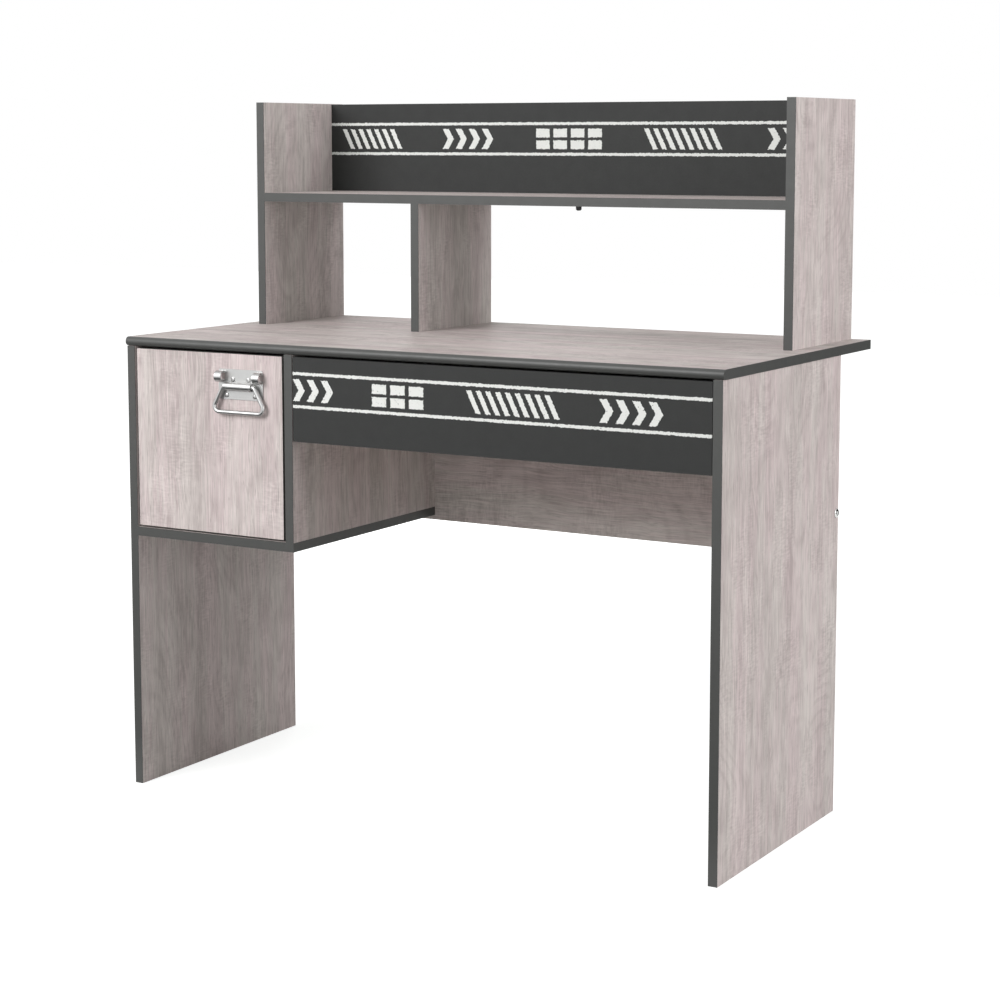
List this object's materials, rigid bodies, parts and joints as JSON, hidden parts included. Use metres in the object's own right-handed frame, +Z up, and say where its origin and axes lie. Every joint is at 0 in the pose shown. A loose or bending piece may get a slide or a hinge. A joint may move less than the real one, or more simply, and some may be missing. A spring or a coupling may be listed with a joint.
{
  "type": "student desk with hutch",
  "caption": "Student desk of pale wood-look boards with dark edges: wide drawer, cabinet with hinged door and swinging bail handle, and a hutch with shelf, divider and striped dark back panel.",
  "frame": {"origin": "on the floor, under the middle of the overall box", "axes": "+X to the right for a person facing the desk, -Y to that person, +Z up"},
  "size_m": [1.087, 0.58, 1.145],
  "materials": {
    "wood_decor": "matt pale greyed wood decor on particle board",
    "dark_edging": "dark grey edge band",
    "dark_panel": "dark grey board with rough white printed stripes",
    "box_board": "plain light grey drawer board",
    "hardboard": "thin faced hardboard",
    "dowel_wood": "raw beech",
    "zinc_steel": "zinc plated steel",
    "nickel_steel": "bright nickel plated steel",
    "dark_bolt": "dark grey",
    "runner_paint": "white coated sheet steel",
    "roller_nylon": "white nylon",
    "catch_plastic": "pale plastic",
    "magnet_iron": "dark ferrite"
  },
  "bodies": {
    "frame": {"worktop": "wood_decor", "left_leg": "wood_decor", "right_leg": "wood_decor", "modesty_panel": "wood_decor", "cabinet_side": "wood_decor", "cabinet_bottom": "wood_decor", "hutch_left_side": "wood_decor", "hutch_right_side": "wood_decor", "hutch_shelf": "wood_decor", "hutch_divider": "wood_decor", "worktop_front_edging": "dark_edging", "worktop_side_edgings": "dark_edging", "left_leg_edging": "dark_edging", "right_leg_edging": "dark_edging", "cabinet_side_edging": "dark_edging", "cabinet_bottom_front_edging": "dark_edging", "cabinet_bottom_side_edging": "dark_edging", "hutch_left_edging": "dark_edging", "hutch_right_edging": "dark_edging", "hutch_shelf_edging": "dark_edging", "hutch_divider_edging": "dark_edging", "hutch_back_panel": "dark_panel", "frame_dowels": "dowel_wood", "cam_discs": "zinc_steel", "cam_bolts": "zinc_steel", "panel_screws": "zinc_steel", "leg_bolts": "zinc_steel", "barrel_nuts": "zinc_steel", "hinge_arms": "zinc_steel", "hinge_plates": "zinc_steel", "hinge_plate_screws": "zinc_steel", "hinge_arm_screws": "zinc_steel", "catch_screws": "zinc_steel", "channel_screws": "zinc_steel", "shelf_bolt": "dark_bolt", "left_runner_channel": "runner_paint", "right_runner_channel": "runner_paint", "catch_case": "catch_plastic", "catch_magnet": "magnet_iron"},
    "door": {"door": "wood_decor", "hinge_cups": "zinc_steel", "hinge_pins": "zinc_steel", "hinge_cup_screws": "zinc_steel", "catch_strike": "zinc_steel", "strike_screws": "zinc_steel", "handle_plate": "nickel_steel", "handle_screws": "nickel_steel"},
    "bail": {"handle_bail": "nickel_steel"},
    "drawer": {"drawer_front": "dark_panel", "drawer_left_side": "box_board", "drawer_right_side": "box_board", "drawer_back": "box_board", "drawer_bottom": "hardboard", "drawer_dowels": "dowel_wood", "left_runner_rail": "runner_paint", "right_runner_rail": "runner_paint", "rail_screws": "zinc_steel"},
    "front_rollers": {"front_rollers": "roller_nylon"},
    "rear_rollers": {"rear_rollers": "roller_nylon"}
  },
  "joints": [
    {"name": "door_swing", "type": "hinge", "parent": "frame", "child": "door", "pos_m": [-0.5105, -0.2675, 0.591], "axis": [0, 0, -1], "range_deg": [0, 110]},
    {"name": "bail_swing", "type": "hinge", "parent": "door", "child": "bail", "pos_m": [-0.308, -0.2826, 0.6866], "axis": [-1, 0, 0], "range_deg": [-4, 118]},
    {"name": "drawer_slide", "type": "slide", "parent": "frame", "child": "drawer", "axis": [0, -1, 0], "range_m": [0, 0.26]},
    {"name": "front_roller_spin", "type": "hinge", "parent": "frame", "child": "front_rollers", "pos_m": [0.15875, -0.246, 0.6275], "axis": [1, 0, 0], "range_deg": [0, 1755]},
    {"name": "rear_roller_spin", "type": "hinge", "parent": "drawer", "child": "rear_rollers", "pos_m": [0.15875, 0.08, 0.6268], "axis": [1, 0, 0], "range_deg": [0, 1755]}
  ],
  "couplings": [
    {"joint": "front_roller_spin", "follows": "drawer_slide", "rad_per_m": 117.65},
    {"joint": "rear_roller_spin", "follows": "drawer_slide", "rad_per_m": 117.65}
  ]
}
